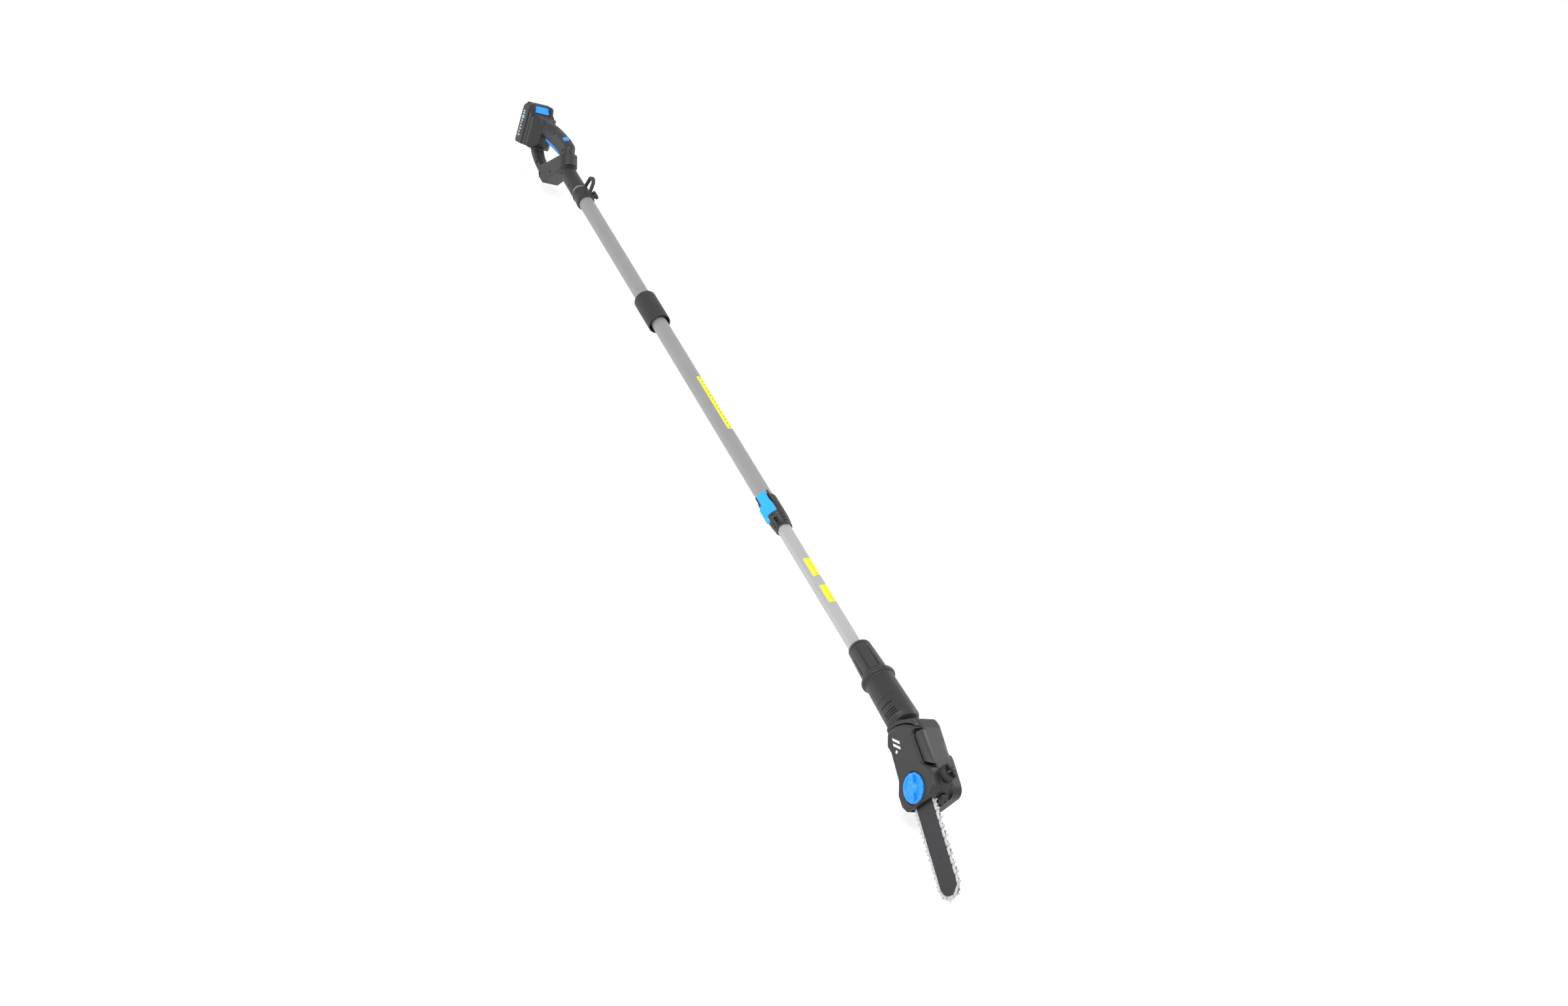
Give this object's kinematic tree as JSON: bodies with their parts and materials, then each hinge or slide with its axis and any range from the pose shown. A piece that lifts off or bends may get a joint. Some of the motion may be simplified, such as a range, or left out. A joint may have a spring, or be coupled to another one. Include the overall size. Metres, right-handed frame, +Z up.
{
  "type": "telescoping pole saw",
  "caption": "Battery pole saw with a grip-and-trigger handle, a two-part telescoping tube with a flip lock, and a tilted saw head with guide bar, chain, cover knob and oil cap.",
  "frame": {"origin": "middle of the outer tube's length, on its axis", "axes": "+X along the pole towards the saw, +Z up on the lock-off button and oil cap side, and the sprocket cover faces -Y"},
  "size_m": [2.4972, 0.0745, 0.1774],
  "materials": {
    "outer_tube": "satin anodised",
    "inner_tube": "satin anodised",
    "black_plastic": "fine textured",
    "dark_plastic": "fine textured",
    "foam_grip": "ribbed, dull",
    "pad_rubber": "dull",
    "sky_plastic": "satin",
    "blue_plastic": "satin",
    "steel": "satin",
    "hardware": "dull",
    "label": "printed film",
    "board": "lacquered",
    "cells": "shrink film",
    "panel": "smooth",
    "windings": "lacquered copper and steel",
    "badge": "printed film",
    "bar_steel": "satin",
    "chain_steel": "bright",
    "tank_plastic": "translucent"
  },
  "bodies": {
    "rear_pole": {"outer_tube": "outer_tube", "mid_grip": "foam_grip", "outer_label": "label", "lock_body": "black_plastic", "lock_pin": "steel", "lock_pad": "pad_rubber", "strap_clamp": "black_plastic", "handle_left_shell": "black_plastic", "handle_right_shell": "black_plastic", "handle_screws": "steel", "trigger_pin": "steel", "trigger_switch": "dark_plastic", "controller_board": "board", "dock_terminal_block": "dark_plastic"},
    "clamp_wing": {"strap_clamp_screw": "hardware"},
    "lock_lever": {"lock_lever": "sky_plastic"},
    "trigger": {"trigger": "blue_plastic"},
    "lock_off": {"lock_off_button": "blue_plastic"},
    "battery": {"battery_case": "black_plastic", "battery_lid": "black_plastic", "battery_cells": "cells", "battery_board": "board", "battery_gauge": "panel"},
    "battery_button": {"battery_release_button": "blue_plastic"},
    "saw_head": {"inner_tube": "inner_tube", "inner_tube_plug": "dark_plastic", "reach_label_rear": "label", "reach_label_front": "label", "head_left_shell": "black_plastic", "head_right_shell": "black_plastic", "head_screws": "steel", "motor_can": "steel", "bearing_left": "steel", "bearing_right": "steel", "sprocket_cover": "black_plastic", "cover_badge": "badge", "bar_stud": "steel", "guide_bar": "bar_steel", "saw_chain": "chain_steel", "tension_pin": "steel", "bumper_teeth": "dark_plastic", "oil_tank": "tank_plastic", "oil_pump": "dark_plastic"},
    "collar": {"coupling_collar": "black_plastic"},
    "rotor": {"motor_rotor": "windings", "motor_fan": "dark_plastic", "bevel_pinion": "steel"},
    "output": {"bevel_gear": "steel", "output_shaft": "steel", "drive_sprocket": "steel"},
    "knob": {"cover_knob": "blue_plastic"},
    "tension": {"tension_screw": "steel"},
    "oil_cap": {"oil_cap": "dark_plastic", "oil_cap_seal": "pad_rubber"}
  },
  "joints": [
    {"name": "head_telescope", "type": "slide", "parent": "rear_pole", "child": "saw_head", "axis": [1, 0, 0], "range_m": [-0.33, 0.1]},
    {"name": "lock_lever_hinge", "type": "hinge", "parent": "rear_pole", "child": "lock_lever", "pos_m": [0.644, -0.01976, 0.01235], "axis": [0, 0.5299, 0.848], "range_deg": [0, 100]},
    {"name": "clamp_wing_spin", "type": "hinge", "parent": "rear_pole", "child": "clamp_wing", "pos_m": [-0.537, 0.01914, 0.02125], "axis": [0, 0.7431, -0.6691], "continuous": true},
    {"name": "trigger_hinge", "type": "hinge", "parent": "rear_pole", "child": "trigger", "pos_m": [-0.727, 0, 0.014], "axis": [0, 1, 0], "range_deg": [0, 6], "stiffness_Nm_per_rad": 0.6, "springref_deg": -8.59},
    {"name": "lock_off_slide", "type": "slide", "parent": "rear_pole", "child": "lock_off", "axis": [0, 0, -1], "range_m": [0, 0.003], "stiffness_N_per_m": 300, "springref_m": -0.001},
    {"name": "battery_slide", "type": "slide", "parent": "rear_pole", "child": "battery", "axis": [-0.3305, 0, 0.9438], "range_m": [0, 0.09]},
    {"name": "battery_button_press", "type": "slide", "parent": "battery", "child": "battery_button", "axis": [-0.9438, 0, -0.3305], "range_m": [0, 0.002], "stiffness_N_per_m": 400, "springref_m": -0.001},
    {"name": "collar_spin", "type": "hinge", "parent": "saw_head", "child": "collar", "pos_m": [1.06, 0, 0.006], "axis": [1, 0, 0], "continuous": true},
    {"name": "rotor_spin", "type": "hinge", "parent": "saw_head", "child": "rotor", "pos_m": [1.17, 0, 0], "axis": [1, 0, 0], "continuous": true},
    {"name": "output_spin", "type": "hinge", "parent": "saw_head", "child": "output", "pos_m": [1.27425, 0, 0], "axis": [0, 1, 0], "continuous": true},
    {"name": "knob_spin", "type": "hinge", "parent": "saw_head", "child": "knob", "pos_m": [1.35947, -0.035, -0.02769], "axis": [0, 1, 0], "continuous": true},
    {"name": "tension_spin", "type": "hinge", "parent": "saw_head", "child": "tension", "pos_m": [1.37292, -0.01025, -0.05099], "axis": [0.9511, 0, -0.309], "continuous": true},
    {"name": "oil_cap_spin", "type": "hinge", "parent": "saw_head", "child": "oil_cap", "pos_m": [1.37551, 0, 0.02493], "axis": [0.309, 0, 0.9511], "continuous": true}
  ],
  "couplings": [
    {"joint": "rotor_spin", "follows": "output_spin", "ratio": 2.5}
  ]
}
